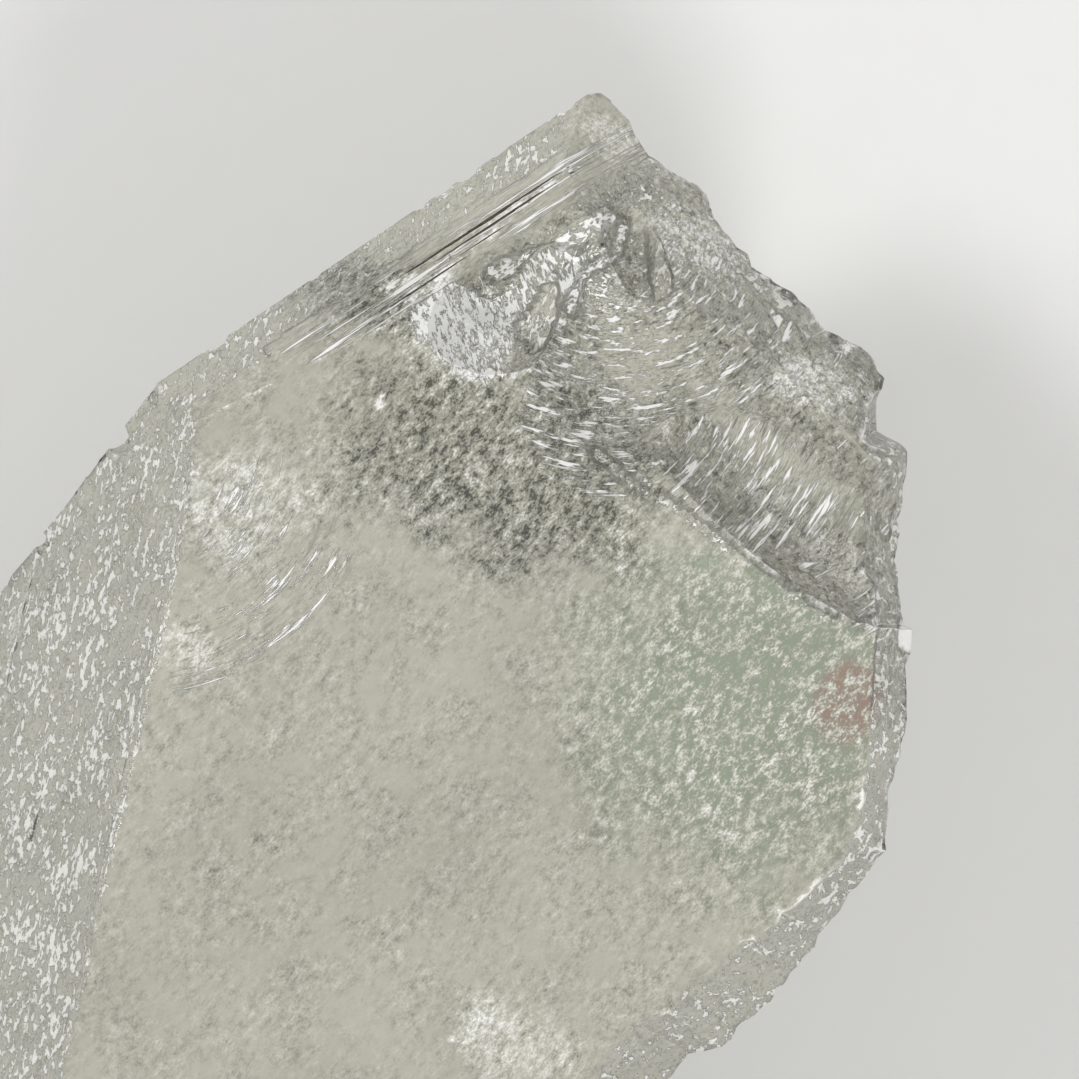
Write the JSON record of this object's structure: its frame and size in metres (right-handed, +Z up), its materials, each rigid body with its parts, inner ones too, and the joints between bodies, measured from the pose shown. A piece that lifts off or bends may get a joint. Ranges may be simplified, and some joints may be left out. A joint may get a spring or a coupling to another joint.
{
  "type": "quartz crystal point",
  "caption": "Clear quartz crystal point lying on a prism face: a flattened six-sided prism with a bevelled point, shell-shaped breaks beside the tip and a jagged broken edge.",
  "frame": {"origin": "middle of the underside of the crystal's box, on the surface that it lies on", "axes": "+Y along the crystal's long axis (its c axis) towards the tip, +Z up from the face that it lies on"},
  "size_m": [0.0246, 0.0452, 0.012],
  "materials": {
    "quartz": "clear, milky in places, with frosted and hackly breaks"
  },
  "bodies": {
    "root": {"quartz_point": "quartz"}
  },
  "joints": []
}
